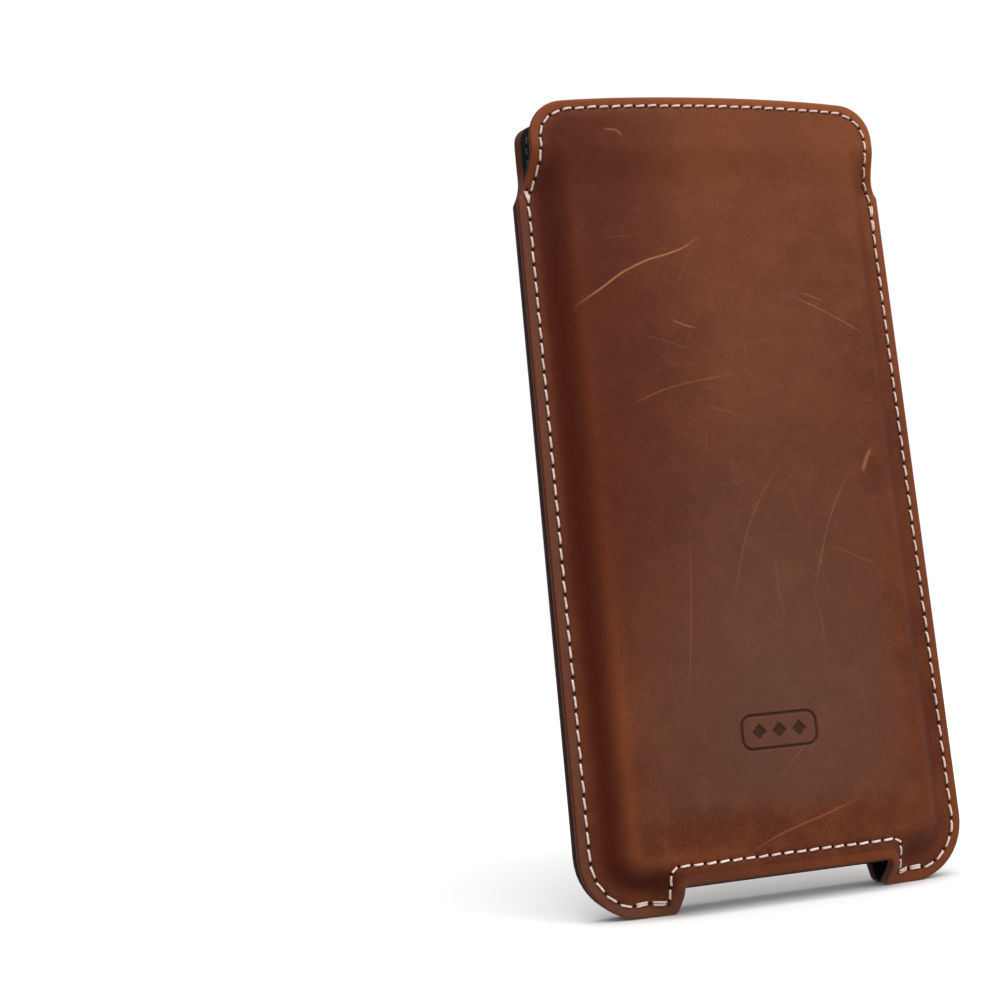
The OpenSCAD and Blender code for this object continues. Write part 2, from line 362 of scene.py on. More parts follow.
def emblem_mask(x, z):
    """1 on the pressed lines of the plain emblem: a rounded frame round a row of lozenges."""
    dx = np.abs(x - EMBLEM_AT[0])
    dz = np.abs(z - EMBLEM_AT[1])
    qx = dx - (EMBLEM_SIZE[0] / 2 - EMBLEM_R)
    qz = dz - (EMBLEM_SIZE[1] / 2 - EMBLEM_R)
    outside = np.hypot(np.maximum(qx, 0), np.maximum(qz, 0))
    box = outside + np.minimum(0, np.maximum(qx, qz)) - EMBLEM_R
    ring = smooth((EMBLEM_LINE - np.abs(box)) / 0.25)
    lozenge_x = np.minimum(dx, np.abs(dx - LOZENGE_PITCH))
    lozenge = (lozenge_x / LOZENGE_HALF + dz / LOZENGE_HALF - 1) * LOZENGE_SLOPE
    return np.maximum(ring, smooth((0.1 - lozenge) / 0.3))


def scratch_depth(points):
    """How strongly each point is scratched, from 0 to 1."""
    strength = np.zeros(len(points))
    for corners, width, level in SCRATCHES + HAIRLINE_LIST:
        line = resampled(rounded_line(corners), 0.15)
        low, high = line.min(axis=0) - 1, line.max(axis=0) + 1
        close = np.flatnonzero(((points > low) & (points < high)).all(axis=1))
        tree = tree_of(line)
        found = [tree.find((x, z, 0)) for x, z in points[close]]
        d = np.array([hit[2] for hit in found])
        t = np.array([hit[1] for hit in found]) / (len(line) - 1)
        taper = smooth(np.minimum(t, 1 - t) / 0.22) * 0.8 + 0.2
        strength[close] = np.maximum(strength[close], level * taper * bell(d, width))
    return strength


def rounded_line(corners):
    """A smooth curve through a few points."""
    p = np.array(corners, float)
    t = np.linspace(0, len(p) - 1, 12 * (len(p) - 1) + 1)
    i = np.clip(t.astype(int), 0, len(p) - 2)
    f = (t - i)[:, None]
    last, a, b, after = p[np.maximum(i - 1, 0)], p[i], p[i + 1], p[np.minimum(i + 2, len(p) - 1)]
    return 0.5 * (2 * a + (b - last) * f + (2 * last - 5 * a + 4 * b - after) * f ** 2
                  + (3 * a - last - 3 * b + after) * f ** 3)


HAIRLINE_LIST = hairlines()


# ---------------------------------------------------------------- flat meshes
def inside(points, form, margin):
    """Which points lie in the outline, at least margin from it."""
    x, z = points.T
    low = np.where(np.abs(x) < NOTCH_FOOT_HALF, NOTCH_H, 0)
    in_box = (np.abs(x) < side_x(z)) & (z > low) & (z < HEIGHT)
    rough = in_box & (edge_distance(x, z - FOOT_FLANGE) > 0)
    near = nearest(form.loop_tree, points)
    cx = np.abs(x) - (MOUTH_HALF - form.corner_r)
    cz = z - (HEIGHT - form.arch - form.corner_r)
    corner = (cx > 0) & (cz > 0) & (np.hypot(cx, cz) > form.corner_r)
    return rough & ~corner & (near >= margin)


# Height of a triangle with equal sides, over its side
TRIANGLE_H = 0.866


def grid(step, x0, x1, z0, z1):
    """A grid of staggered rows over a rectangle."""
    rows = []
    for k, z in enumerate(np.arange(z0, z1, step * TRIANGLE_H)):
        x = np.arange(x0 + (k % 2) * step / 2, x1, step)
        rows.append(np.stack([x, np.full(len(x), z)], axis=1))
    return np.concatenate(rows)


def triangulated(loop, points):
    """(points, triangles, indices of the loop) of the area in a loop, through the given points."""
    coords = [Vector(p) for p in np.concatenate([loop, points])]
    edges = [(i, (i + 1) % len(loop)) for i in range(len(loop))]
    verts, _, faces, origin, _, _ = geometry.delaunay_2d_cdt(coords, edges, [], 1, 1e-6)
    place = {}
    for new, olds in enumerate(origin):
        for old in olds:
            place[old] = new
    return np.array(verts), np.array(faces), np.array([place[i] for i in range(len(loop))])


# Insets of the rings of points inside the cut edge. The last is the width of their band.
RING_OFFSETS = (0.03, 0.1, 0.2, 0.34, 0.52, 0.74, 1.0, 1.3, 1.6, 1.9, 2.2, 2.5, 2.8, 3.1, 3.4, 3.75)
FINE_BAND = 3.75
# Width of the band that holds the moulded wall, and the steps of the grids in it and in the flat
WALL_BAND = 14
WALL_STEP = 0.7
FLAT_STEP = 1.3
# Rings of points round each stitch hole, as (radius, points), and the space kept clear for them
HOLE_RINGS = ((0.14, 7), (0.28, 9), (0.46, 12))
HOLE_CLEAR = 0.62
EMBLEM_STEP = 0.16
SCRATCH_STEP = 0.3
# Rows of points across a scratch, in half widths from its middle
SCRATCH_ROWS = (-2.2, -1.1, 0, 1.1, 2.2)


def detailed_points(form):
    """Points that carry the rounded edge, the stitch holes, the wall and, on the front, the scratches
    and the emblem."""
    rings = []
    for t in RING_OFFSETS:
        ring = inward(form.loop, t)
        rings.append(ring[nearest(form.loop_tree, ring) > t * 0.97 - 0.004])
    wall = grid(WALL_STEP, -HALF_W, HALF_W, 0, HEIGHT)
    near = nearest(form.loop_tree, wall)
    wall = wall[inside(wall, form, FINE_BAND + 0.3) & (near < WALL_BAND)]
    flat = grid(FLAT_STEP, -HALF_W, HALF_W, 0, HEIGHT)
    flat = flat[inside(flat, form, WALL_BAND + 0.3)]
    rest = np.concatenate(rings + [wall, flat])
    rest = rest[nearest(form.hole_tree, rest) > HOLE_CLEAR]
    around = [form.holes]
    for r, n in HOLE_RINGS:
        for a in np.linspace(0, 2 * math.pi, n, endpoint=False):
            around.append(form.holes + (r * math.cos(a), r * math.sin(a)))
    around = np.concatenate(around)
    around = around[inside(around, form, 0.3)]
    if form is BACK:
        return np.concatenate([rest, around])
    half = np.array(EMBLEM_SIZE) / 2 + 0.6
    at = np.array(EMBLEM_AT)
    low, high = at - half, at + half
    emblem = grid(EMBLEM_STEP, low[0], high[0], low[1], high[1])
    rest = rest[(np.abs(rest - at) > half + 0.2).any(axis=1)]
    scratches = []
    for corners, width, _ in SCRATCHES + HAIRLINE_LIST:
        line = resampled(rounded_line(corners), SCRATCH_STEP)
        tangent = np.gradient(line, axis=0)
        tangent /= np.linalg.norm(tangent, axis=1)[:, None]
        across = np.stack([-tangent[:, 1], tangent[:, 0]], axis=1)
        scratches += [line + across * width * k for k in SCRATCH_ROWS]
    scratches = np.concatenate(scratches)
    scratches = scratches[inside(scratches, form, FINE_BAND)]
    scratches = scratches[(np.abs(scratches - at) > half + 0.1).any(axis=1)]
    scratch_tree = tree_of(scratches)
    rest = rest[nearest(scratch_tree, rest) > 0.4]
    return np.concatenate([rest, emblem, scratches, around])


def plain_points(form, step):
    """Points for a hidden or plain face, with a finer grid on the moulded wall."""
    field = grid(step, -HALF_W, HALF_W, 0, HEIGHT)
    wall = grid(step / 2, -HALF_W, HALF_W, 0, HEIGHT)
    near = nearest(form.loop_tree, wall)
    wall = wall[inside(wall, form, 0.9) & (near < WALL_BAND - 0.5)]
    return np.concatenate([field[inside(field, form, WALL_BAND)], wall])


# ---------------------------------------------------------------- meshes
def mesh_object(name, verts_mm, faces, material, attributes=None):
    mesh = bpy.data.meshes.new(name)
    verts = np.asarray(verts_mm, float) * MM
    mesh.from_pydata(verts.tolist(), [], [list(map(int, f)) for f in faces])
    for key, values in (attributes or {}).items():
        layer = mesh.attributes.new(key, "FLOAT", "POINT")
        layer.data.foreach_set("value", np.asarray(values, np.float32))
    mesh.shade_smooth()
    mesh.materials.append(material)
    mesh.validate()
    piece = bpy.data.objects.new(name, mesh)
    bpy.context.scene.collection.objects.link(piece)
    return piece


def strip(ring_a, ring_b):
    """Two triangles for each step between two rings of as many points."""
    faces = []
    n = len(ring_a)
    for i in range(n):
        j = (i + 1) % n
        faces.append((ring_a[i], ring_b[i], ring_b[j]))
        faces.append((ring_a[i], ring_b[j], ring_a[j]))
    return faces


WAVE_COUNT = 7


def waviness(x, z, seed):
    """Gentle hand-made unevenness, between about -1 and 1."""
    rng = np.random.default_rng(seed)
    total = np.zeros_like(x)
    for _ in range(WAVE_COUNT):
        angle, phase = rng.uniform(0, 2 * math.pi, 2)
        wave = rng.uniform(18, 60)
        total += np.sin((x * math.cos(angle) + z * math.sin(angle)) * 2 * math.pi / wave + phase)
    return total / 3.0


def sheet_mesh(name, form, profile, outer_flat, inner_flat, material, detail=None, lip=0.0):
    """A closed sheet. profile lists (inset, depth) from its outer face to its inner face. The outer
    and inner faces are flat meshes whose loops have the insets of the first and last entries. lip
    is how far each point of the cut edge stands out, beyond those insets."""
    verts, attributes = [], {}
    count = 0
    front = form.sign < 0

    def add(points, depth, change=0.0):
        nonlocal count
        points = ear_stepped(points, form, depth)
        y = face_y(*points.T, form, depth) + change
        verts.append(np.stack([points[:, 0], form.sign * y, points[:, 1]], axis=1))
        count += len(points)
        return count - len(points)

    outer_points, outer_faces, outer_loop = outer_flat
    change = 0.0
    if detail is not None:
        change, attributes = detail(outer_points)
    base = add(outer_points, profile[0][1], change)
    faces = [tuple(f) if front else tuple(f[::-1]) for f in outer_faces + base]
    rings = [outer_loop + base]
    for inset, depth in profile[1:-1]:
        ring = inward(form.loop, inset - lip)
        at = add(ring, depth)
        rings.append(np.arange(at, at + len(ring)))
    inner_points, inner_faces, inner_loop = inner_flat
    at = add(inner_points, profile[-1][1])
    faces += [tuple(f[::-1]) if front else tuple(f) for f in inner_faces + at]
    rings.append(inner_loop + at)
    for a, b in zip(rings, rings[1:]):
        edge = strip(a, b)
        faces += edge if front else [f[::-1] for f in edge]
    verts = np.concatenate(verts)
    rest_z = verts[len(outer_points):, 2]
    on_edge = {"cut_edge": np.ones_like(rest_z), "dark": edge_dark(form, rest_z)}
    values = {key: np.concatenate([v, on_edge.get(key, np.zeros_like(rest_z))])
              for key, v in attributes.items()}
    return mesh_object(name, verts, faces, material, values)


# ---------------------------------------------------------------- materials
class Shader:
    """A material's node tree, built with short calls."""

    def __init__(self, name):
        self.material = bpy.data.materials.new(name)
        self.material.use_nodes = True
        self.tree = self.material.node_tree
        self.bsdf = self.tree.nodes["Principled BSDF"]
        coords = self.add("ShaderNodeTexCoord")
        self.mm = self.add("ShaderNodeVectorMath", operation="SCALE", Vector=coords.outputs["Object"],
                           Scale=1 / MM).outputs[0]

    def add(self, kind, **settings):
        node = self.tree.nodes.new(kind)
        for key, value in settings.items():
            if hasattr(node, key) and not isinstance(value, bpy.types.NodeSocket):
                setattr(node, key, value)
            else:
                self.put(node.inputs[key.replace("_", " ")], value)
        return node

    def put(self, socket, value):
        if isinstance(value, bpy.types.NodeSocket):
            self.tree.links.new(value, socket)
        else:
            socket.default_value = value

    def attribute(self, name):
        return self.add("ShaderNodeAttribute", attribute_name=name).outputs["Fac"]

    def noise(self, scale, detail, rough, distortion=0.0):
        """Noise with scale features to the millimetre."""
        node = self.add("ShaderNodeTexNoise", Scale=scale, Detail=detail, Roughness=rough,
                        Distortion=distortion, Vector=self.mm)
        return node.outputs["Fac"]

    def cells(self, scale):
        node = self.add("ShaderNodeTexVoronoi", feature="SMOOTH_F1", Scale=scale, Vector=self.mm)
        return node.outputs["Distance"]

    def ramp(self, value, low, high, out_low=0.0, out_high=1.0):
        node = self.add("ShaderNodeMapRange", interpolation_type="SMOOTHSTEP", Value=value)
        node.inputs["From Min"].default_value = low
        node.inputs["From Max"].default_value = high
        node.inputs["To Min"].default_value = out_low
        node.inputs["To Max"].default_value = out_high
        return node.outputs[0]

    def math(self, operation, a, b=0.0):
        node = self.add("ShaderNodeMath", operation=operation)
        self.put(node.inputs[0], a)
        self.put(node.inputs[1], b)
        return node.outputs[0]

    def blend(self, factor, a, b, mode="MIX"):
        node = self.add("ShaderNodeMix", data_type="RGBA", blend_type=mode)
        self.put(node.inputs[0], factor)
        self.put(node.inputs[6], a)
        self.put(node.inputs[7], b)
        return node.outputs[2]

    def bump(self, height, distance, normal=None, strength=1.0):
        node = self.add("ShaderNodeBump", Strength=strength, Distance=distance, Height=height)
        if normal is not None:
            self.put(node.inputs["Normal"], normal)
        return node.outputs[0]


def rgb(red, green, blue):
    """A colour given as 0-255 display values."""
    def linear(c):
        c = c / 255
        return c / 12.92 if c <= 0.04045 else ((c + 0.055) / 1.055) ** 2.4
    return (linear(red), linear(green), linear(blue), 1.0)


def leather_material():
    s = Shader("pull_up_leather")
    # Base: clouds of darker red-brown and lighter tan, with a mottle and a fine speckle.
    clouds = s.ramp(s.noise(0.034, 5, 0.58, distortion=0.6), 0.38, 0.64)
    colour = s.blend(clouds, rgb(88, 41, 24), rgb(101, 50, 29))
    mottle = s.ramp(s.noise(0.17, 6, 0.64), 0.45, 0.68)
    colour = s.blend(s.math("MULTIPLY", mottle, 0.42), colour, rgb(114, 62, 35))
    patches = s.ramp(s.noise(0.075, 4, 0.6, distortion=1.2), 0.5, 0.66)
    colour = s.blend(s.math("MULTIPLY", patches, 0.3), colour, rgb(75, 32, 20))
    # A light speckle. Warm: the pulled-up ridge of the left wall, partly painted highlight, and
    # painted highlight on the upper right and the margin.
    # Painted sheen. Dark: mostly painted shade in the crease of the wall and on the left, and darker
    # rows of stitches.
    speckle = s.ramp(s.noise(2.4, 6, 0.8), 0.48, 0.68)
    colour = s.blend(s.math("MULTIPLY", speckle, 0.26), colour, rgb(150, 92, 58))
    colour = s.blend(s.attribute("warm"), colour, rgb(150, 80, 40))
    colour = s.blend(s.attribute("haze"), colour, rgb(102, 70, 56))
    colour = s.blend(s.attribute("dark"), colour, rgb(78, 26, 8))
    pores = s.ramp(s.noise(2.6, 3, 0.7), 0.3, 0.44, 1.0, 0.0)
    colour = s.blend(s.math("MULTIPLY", pores, 0.4), colour, rgb(58, 24, 16))
    # Wear: scratches show the tan under the wax.
    colour = s.blend(s.attribute("scratch"), colour, rgb(200, 136, 90))
    # Cut edges are dressed brown, darkened by the dark mask, which on the back's edge along the side
    # seams is painted shade. The holes are painted dark as shade.
    edge = s.blend(s.attribute("dark"), rgb(136, 66, 42), rgb(26, 13, 8))
    colour = s.blend(s.math("MULTIPLY", s.attribute("cut_edge"), 0.85), colour, edge)
    colour = s.blend(s.attribute("hole"), colour, rgb(16, 7, 5))
    s.put(s.bsdf.inputs["Base Color"], colour)
    # Grain: small pebbles and pores.
    pebbles = s.cells(1.3)
    grain = s.math("ADD", pebbles, s.math("MULTIPLY", s.noise(3.4, 4, 0.65), 0.9))
    normal = s.bump(grain, 0.00008, strength=0.5)
    normal = s.bump(s.noise(0.4, 5, 0.62), 0.0003, normal, 0.4)
    s.put(s.bsdf.inputs["Normal"], normal)
    rough = s.math("ADD", 0.44, s.math("MULTIPLY", s.noise(0.45, 5, 0.7), 0.26))
    s.put(s.bsdf.inputs["Roughness"], rough)
    s.bsdf.inputs["Specular IOR Level"].default_value = 0.1
    return s.material


def lining_material():
    s = Shader("black_suede")
    nap = s.noise(0.9, 5, 0.7)
    s.put(s.bsdf.inputs["Base Color"], s.blend(s.ramp(nap, 0.35, 0.7), rgb(8, 8, 8), rgb(24, 22, 22)))
    s.put(s.bsdf.inputs["Normal"], s.bump(s.noise(4.5, 3, 0.8), 0.00012, strength=0.6))
    s.bsdf.inputs["Roughness"].default_value = 0.95
    s.bsdf.inputs["Specular IOR Level"].default_value = 0.15
    s.bsdf.inputs["Sheen Weight"].default_value = 0.06
    s.bsdf.inputs["Sheen Roughness"].default_value = 0.5
    return s.material


def thread_material(name, dark_tone, light_tone):
    s = Shader(name)
    tone = s.ramp(s.noise(0.7, 3, 0.6), 0.35, 0.7)
    s.put(s.bsdf.inputs["Base Color"], s.blend(tone, dark_tone, light_tone))
    fibres = s.noise(9.0, 2, 0.6)
    s.put(s.bsdf.inputs["Normal"], s.bump(fibres, 0.00003, strength=0.5))
    s.put(s.bsdf.inputs["Roughness"], s.ramp(fibres, 0.3, 0.7, 0.5, 0.7))
    s.bsdf.inputs["Sheen Weight"].default_value = 0.1
    return s.material


# ---------------------------------------------------------------- panels
def edge_dark(form, z):
    """How dark the dressed cut edge of a panel is at height z. On the back, below the mouth, painted
    shade makes it darker.
    """
    if form is FRONT:
        return np.full_like(z, EDGE_DARK)
    return mix(BACK_EDGE_DARK, EDGE_DARK, smooth((z - 150) / 12))


# How deep the outside of the leather is shaped, in millimetres
ROW_DENT = 0.13
HOLE_DEPTH = 0.45
WAVE_DEPTH = 0.13
EMBLEM_DEPTH = 0.3
SCRATCH_DEPTH = 0.04
# How dark the cut edges are, and the back's along the side seams, which is darker with painted shade
EDGE_DARK = 0.7
BACK_EDGE_DARK = 0.95
# The margin outside the rows of stitches is lighter with painted highlight and painted sheen, up to
# this far from the cut edge
MARGIN_W = 2.5
# The painted highlight spot and the painted sheen on the front: the places of their middles
LIGHT_PATCH_AT = (10, 118)
PAINTED_SHEEN_AT = (2, 42)


def leather_detail(form):
    """The small shape of a panel's outside, and the masks that its material reads."""
    front = form is FRONT

    def detail(points):
        x, z = points.T
        t = nearest(form.loop_tree, points)
        row = nearest(form.row_tree, points)
        hole = nearest(form.hole_tree, points)
        # Shape: a rounded edge, dents along the stitches, soft waves, emblem and scratches
        drop = EDGE_R - np.sqrt(np.maximum(EDGE_R ** 2 - np.maximum(EDGE_R - t, 0) ** 2, 0))
        y = -drop - ROW_DENT * bell(row, 0.7) - HOLE_DEPTH * bell(hole, 0.26)
        y = y + WAVE_DEPTH * waviness(x, z, 5 if front else 9) * smooth((t - 1.5) / 8)
        emblem = emblem_mask(x, z) if front else np.zeros_like(x)
        scratch = scratch_depth(points) if front else np.zeros_like(x)
        y = y - EMBLEM_DEPTH * emblem - SCRATCH_DEPTH * scratch
        # Where things are: below the mouth, up the wall, beside the notch, on the margin
        body = 1 - smooth((z - SHOULDER_Z + 14) / 26)
        wall_at = edge_distance(x, z) - FLANGE_W
        beside_notch = 1 - smooth((NOTCH_FOOT_HALF + 4 - np.abs(x)) / 5)
        margin = smooth((MARGIN_W - t) / 0.5)
        top = smooth((z - 100) / 75)
        rightward, upward = smooth((x + 30) / 50), smooth((z - 150) / 10)
        # Warm: the pulled-up ridge at the top of the left wall, partly painted highlight; painted
        # highlight over the upper right, the mouth, and on the margin, strongest at the right and the
        # top
        warm = 0.28 * bell(wall_at - WALL_W * 0.9, 1.9) * body * smooth(-x / 20)
        warm = warm + 0.3 * top * smooth((x + 28) / 30)
        warm = warm + margin * mix(mix(0.08, 0.3, rightward), 0.5, upward)
        # A soft spot of painted highlight and sheen on the middle of the front, added to the warm and
        # the sheen masks
        patch_x, patch_z = x - LIGHT_PATCH_AT[0], z - LIGHT_PATCH_AT[1]
        patch = 0.15 * bell(np.hypot(patch_x / 1.2, patch_z / 1.5), 13)
        # Painted sheen: a reflection round the emblem, and on the left margin
        sheen_x, sheen_z = x - PAINTED_SHEEN_AT[0], z - PAINTED_SHEEN_AT[1]
        haze = 0.6 * bell(np.hypot(sheen_x / 1.8, sheen_z / 2.6), 20) * smooth((t - 10) / 8)
        haze = haze + 0.45 * margin * (1 - rightward) * (1 - upward)
        # Dark: painted shade in the crease at the foot of the wall, weaker towards the notch and on
        # the right, and on the left of the body; darker rows of stitches; the cut edge
        foot = bell(wall_at - WALL_W * 0.38, 2.3) * body * mix(0.35, 1.0, beside_notch)
        foot = foot * mix(1.0, 0.35, smooth(x / 30))
        left = 0.62 * smooth(-x / 34) * smooth((z - 34) / 60) * smooth((t - 3) / 2)
        dark = 0.95 * foot + 0.3 * bell(row, 0.5) + left * (1 - foot)
        dark = mix(dark, edge_dark(form, z), smooth((0.4 - t) / 0.35))
        # The hole mask is painted shade in the shallow stitch holes, and darkens the pressed lines of
        # the emblem
        return y, {"cut_edge": 1 - smooth(t / EDGE_R),
                   "hole": np.maximum(bell(hole, 0.27), 0.6 * emblem),
                   "scratch": np.clip(scratch, 0, 1),
                   "warm": np.clip(warm + patch, 0, 1),
                   "haze": np.clip(haze + patch, 0, 1),
                   "dark": np.clip(dark, 0, 1)}
    return detail


# Inset of the hidden loop that the leather and its lining meet in
HIDDEN_INSET = 0.15
# How far the lining stands out under the edge of the front notch
LINING_LIP = 0.75
# The cut edges from the outer to the inner face of each layer, as (inset, depth)
LEATHER_PROFILE = [(0, 0), (-0.02, 1.2), (-0.02, 1.7), (0.03, 2.1), (HIDDEN_INSET, LEATHER_T)]
LINING_PROFILE = [(HIDDEN_INSET, LEATHER_T), (0.12, LEATHER_T + 0.15),
                  (0.14, LEATHER_T + 0.35), (0.28, PANEL_T - 0.01)]
# Steps of the grids of the hidden faces, and of the lining's inside
HIDDEN_STEP = 2.4
INSIDE_STEP = 1.6


def build_panels():
    """Both leather panels and both linings, each a sheet of its own."""
    leather, lining = leather_material(), lining_material()
    for form in (FRONT, BACK):
        fine = triangulated(form.loop, detailed_points(form))
        hidden = triangulated(inward(form.loop, HIDDEN_INSET), plain_points(form, HIDDEN_STEP))
        x, z = form.loop.T
        lip = LINING_LIP * ((np.abs(x) < NOTCH_HALF - 1) & (np.abs(z - NOTCH_H) < 0.3))
        lining_outer = triangulated(inward(form.loop, HIDDEN_INSET - lip),
                                    plain_points(form, HIDDEN_STEP))
        lining_inner = triangulated(inward(form.loop, LINING_PROFILE[-1][0] - lip),
                                    plain_points(form, INSIDE_STEP))
        skin = sheet_mesh(f"{form.name}_leather_panel", form, LEATHER_PROFILE, fine, hidden,
                          leather, leather_detail(form))
        suede = sheet_mesh(f"{form.name}_suede_lining", form, LINING_PROFILE, lining_outer,
                           lining_inner, lining, lip=lip)
        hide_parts(f"{form.name}_leather")
        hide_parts(f"{form.name}_lining")
        for piece, slot in ((skin, "leather"), (suede, "lining")):
            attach(piece, "root")


# ---------------------------------------------------------------- threads
# Part of the distance between two holes that a stitch covers
STITCH_COVER = 0.76
# Height of the middle of a stitch and how deep its ends dive, in thread radii
STITCH_HEIGHT = 0.72
STITCH_DIVE = 1.9
# Part of the thickness that is lost at the ends, and how flat the thread lies
END_TAPER = 0.35
FLATNESS = 0.86
# Three plies, how fast they twist in radians a millimetre, and how deep the grooves are
PLIES = 3
TWIST = 2.6
GROOVE = 0.12
# Sideways slant of a stitch, its largest error, and how far it sinks into the leather
STITCH_SLANT = 0.09
STITCH_WOBBLE = 0.06
STITCH_BEND = 0.05
STITCH_SINK = 0.08
# Height of a second stitch on top of the first, and how far its far end is shifted
TACK_LIFT = 0.1
TACK_SHIFT = 0.1
# Points round and steps along a stitch
SIDES = 12
STEPS = 18


def stitch(a, b, out, rng):
    """The points and faces of one stitch from a to b. It dives into the leather at both ends;
    out is the direction away from the leather."""
    length = np.linalg.norm(b - a)
    forward = (b - a) / length
    out = out - forward * (out @ forward)
    out /= np.linalg.norm(out)
    across = np.cross(out, forward)
    phase = rng.uniform(0, 2 * math.pi)
    bend = rng.uniform(-STITCH_BEND, STITCH_BEND)
    verts, faces = [], []
    for i in range(STEPS + 1):
        t = i / STEPS
        ends = abs(2 * t - 1)
        centre = a + (b - a) * t
        centre = (centre + out * THREAD_R * (STITCH_HEIGHT - STITCH_DIVE * ends ** 7)
                  + across * bend * math.sin(math.pi * t))
        size = THREAD_R * (1 - END_TAPER * ends ** 10)
        for k in range(SIDES):
            angle = 2 * math.pi * k / SIDES
            turned = PLIES / 2 * (angle - TWIST * t * length) + phase
            ply = 1 - GROOVE + GROOVE * abs(math.cos(turned))
            round_way = math.cos(angle) * across + FLATNESS * math.sin(angle) * out
            verts.append(centre + size * ply * round_way)
    for i in range(STEPS):
        for k in range(SIDES):
            a0, a1 = i * SIDES + k, i * SIDES + (k + 1) % SIDES
            faces.append((a0, a1, a1 + SIDES, a0 + SIDES))
    faces.append(tuple(range(SIDES))[::-1])
    faces.append(tuple(STEPS * SIDES + k for k in range(SIDES)))
    return verts, faces


def surface_point(p, form, depth):
    """The point at p on the face at depth, on the front half."""
    return np.array((p[0], -float(face_y(p[0], p[1], form, depth)), p[1]))


def surface_out(p, form, depth, outward):
    """Direction away from the face at p, on the front half."""
    step = 0.4
    dx = surface_point(p + (step, 0), form, depth) - surface_point(p - (step, 0), form, depth)
    dz = surface_point(p + (0, step), form, depth) - surface_point(p - (0, step), form, depth)
    n = np.cross(dx, dz)
    return n / np.linalg.norm(n) * outward


def row_jobs(count, tacks):
    """(stitch, shift at its start, shift at its end, lift) for each stitch of a row. tacks lists the
    stitches at the ends that are sewn twice."""
    jobs = [(k, 0.0, 0.0, 0.0) for k in range(count)]
    for k, spread in tacks:
        jobs.append((k % count, spread, TACK_SHIFT if k >= 0 else spread, TACK_LIFT))
    return jobs


def thread_piece(name, form, row, depth, outward, material, tacks, seed):
    """A row of stitches on one face."""
    path, pitch = form.rows[row]
    rng = np.random.default_rng(seed)
    at = stitch_ends(path, pitch)
    verts, faces = [], []
    for k, shift_p, shift_q, lift in row_jobs(len(at) - 1, tacks):
        gap = (1 - STITCH_COVER) / 2 * (at[k + 1] - at[k])
        p, q = along(path, [at[k] + gap, at[k + 1] - gap])
        direction = (q - p) / np.linalg.norm(q - p)
        across = np.array((-direction[1], direction[0]))
        wobble = rng.uniform(-STITCH_WOBBLE, STITCH_WOBBLE, 2)
        p = p - across * (STITCH_SLANT + wobble[0] - shift_p)
        q = q + across * (STITCH_SLANT + wobble[1] + shift_q)
        out = surface_out((p + q) / 2, form, depth, outward)
        a = surface_point(p, form, depth) + out * (lift - STITCH_SINK)
        b = surface_point(q, form, depth) + out * (lift - STITCH_SINK)
        more, tris = stitch(a, b, out, rng)
        base = len(verts)
        verts += more
        faces += [tuple(i + base for i in f) for f in tris]
    verts = np.array(verts)
    if form is BACK:
        verts[:, 1] *= -1
        faces = [f[::-1] for f in faces]
    piece = mesh_object(name, verts, faces, material)
    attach(piece, "root")
    return piece


# The stitches that are sewn twice at the ends of the side seams, as (stitch, shift)
LEFT_TACKS = ((0, -0.55), (1, -0.2), (-1, 0.5), (-2, 0.45))
RIGHT_TACKS = ((0, 0.5), (1, 0.3), (-1, -0.5), (-2, -0.45))


# The first row of stitches takes the number after this one as its random seed
SEED_BASE = 40


def build_threads():
    """The needle threads outside and the bobbin threads on the other face of each row."""
    cream = thread_material("cream_thread", rgb(212, 186, 172), rgb(240, 222, 210))
    black = thread_material("black_thread", rgb(10, 10, 10), rgb(24, 22, 22))
    seed = SEED_BASE
    for row, tacks in (("left_seam", LEFT_TACKS), ("right_seam", RIGHT_TACKS)):
        for kind, form in (("needle", FRONT), ("bobbin", BACK)):
            seed += 1
            piece = thread_piece(f"{row}_{kind}_stitches", form, row, 0, 1, cream, tacks, seed)
            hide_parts(f"{row}_{kind}_thread")
    for row in ("mouth", "notch"):
        for form in (FRONT, BACK):
            for kind, depth, outward, material, slot in (
                    ("needle", 0, 1, cream, "thread"),
                    ("bobbin", PANEL_T, -1, black, "lining_thread")):
                seed += 1
                piece = thread_piece(f"{form.name}_{row}_{kind}_stitches", form, row, depth, outward,
                                     material, (), seed)
                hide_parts(f"{form.name}_{row}_{kind}_thread")


# ---------------------------------------------------------------- camera, light and floor
CAMERA_AT = (-108.8, -245.1, 55.3)
CAMERA_LENS = 42.55
CAMERA_YAW = -12.75
CAMERA_PITCH = -7.69
CAMERA_ROLL = -4.98


def build_camera():
    """The camera at the photo's viewpoint. Roll is about the line of sight."""
    yaw, pitch, roll = (math.radians(a) for a in (CAMERA_YAW, CAMERA_PITCH, CAMERA_ROLL))
    back = Vector((math.sin(yaw) * math.cos(pitch), -math.cos(yaw) * math.cos(pitch), math.sin(pitch)))
    right = (-back).cross(Vector((0, 0, 1))).normalized()
    up = right.cross(-back)
    right, up = (right * math.cos(roll) + up * math.sin(roll),
                 up * math.cos(roll) - right * math.sin(roll))
    data = bpy.data.cameras.new("camera")
    data.lens = CAMERA_LENS
    data.clip_start = 0.01
    camera = bpy.data.objects.new("camera", data)
    turn = Matrix((right, up, back)).transposed().to_4x4()
    camera.matrix_world = Matrix.Translation(Vector(CAMERA_AT) * MM) @ turn
    bpy.context.scene.collection.objects.link(camera)
    bpy.context.scene.camera = camera


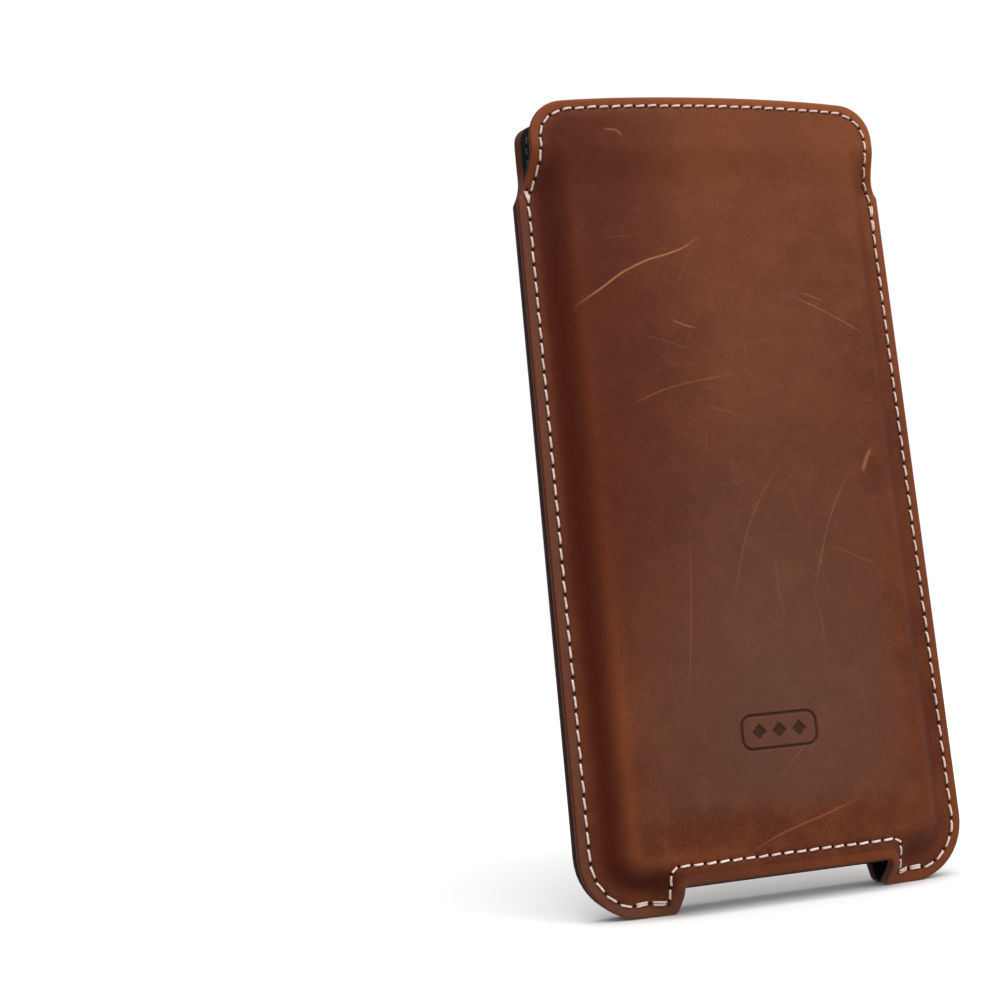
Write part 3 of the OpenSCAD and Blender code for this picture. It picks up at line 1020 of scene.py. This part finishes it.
def area_light(name, place, target, size, power):
    data = bpy.data.lights.new(name, "AREA")
    data.shape = "DISK"
    data.size = size
    data.energy = power
    light = bpy.data.objects.new(name, data)
    light.location = place
    light.rotation_euler = (Vector(target) - Vector(place)).to_track_quat("-Z", "Y").to_euler()
    bpy.context.scene.collection.objects.link(light)


def stage_material(name, brightness, emission):
    material = bpy.data.materials.new(name)
    material.use_nodes = True
    bsdf = material.node_tree.nodes["Principled BSDF"]
    bsdf.inputs["Base Color"].default_value = (brightness, brightness, brightness, 1)
    bsdf.inputs["Roughness"].default_value = 1.0
    bsdf.inputs["Specular IOR Level"].default_value = 0.0
    bsdf.inputs["Emission Color"].default_value = (1, 1, 1, 1)
    bsdf.inputs["Emission Strength"].default_value = emission
    return material


def soft_sun(name, direction, angle, strength):
    """Light from a wide, distant source. direction points towards the light."""
    data = bpy.data.lights.new(name, "SUN")
    data.angle = math.radians(angle)
    data.energy = strength
    light = bpy.data.objects.new(name, data)
    light.rotation_euler = (-Vector(direction)).to_track_quat("-Z", "Y").to_euler()
    bpy.context.scene.collection.objects.link(light)


# The floor shows up white in the camera, and neither stage piece tints the leather.
FLOOR_RADIUS = 3.0
BACKDROP_RADIUS = 2.9
FLOOR_BRIGHTNESS = 0.85
WORLD_STRENGTH = 0.55
SUN_DIRECTION = (0.0, -0.34, 1.0)
SUN_ANGLE = 70
SUN_STRENGTH = 2.65
KEY_AT = (0.30, -0.42, 0.36)
KEY_SIZE = 0.25
KEY_POWER = 0.95


def build_stage():
    """A pale floor and backdrop in soft studio light."""
    bpy.ops.mesh.primitive_circle_add(vertices=96, radius=FLOOR_RADIUS, fill_type="NGON",
                                      location=(0, 0, 0))
    floor = bpy.context.object
    floor.name = "floor"
    floor.data.materials.append(stage_material("floor_white", FLOOR_BRIGHTNESS, 0.0))
    bpy.ops.mesh.primitive_uv_sphere_add(segments=48, ring_count=24, radius=BACKDROP_RADIUS)
    backdrop = bpy.context.object
    backdrop.name = "backdrop"
    backdrop.data.materials.append(stage_material("backdrop_white", 0.0, 1.0))
    for stage, rays in ((backdrop, ("diffuse", "glossy", "transmission", "shadow")),
                        (floor, ("diffuse", "glossy"))):
        for ray in rays:
            setattr(stage, "visible_" + ray, False)

    world = bpy.data.worlds.new("world")
    world.use_nodes = True
    background = world.node_tree.nodes["Background"]
    background.inputs["Color"].default_value = (1, 1, 1, 1)
    background.inputs["Strength"].default_value = WORLD_STRENGTH
    bpy.context.scene.world = world
    soft_sun("top", SUN_DIRECTION, SUN_ANGLE, SUN_STRENGTH)
    area_light("key", KEY_AT, (0, 0, HEIGHT * MM / 2), KEY_SIZE, KEY_POWER)
    bpy.context.scene.view_settings.view_transform = "Standard"


build_camera()
build_panels()
build_threads()
build_stage()
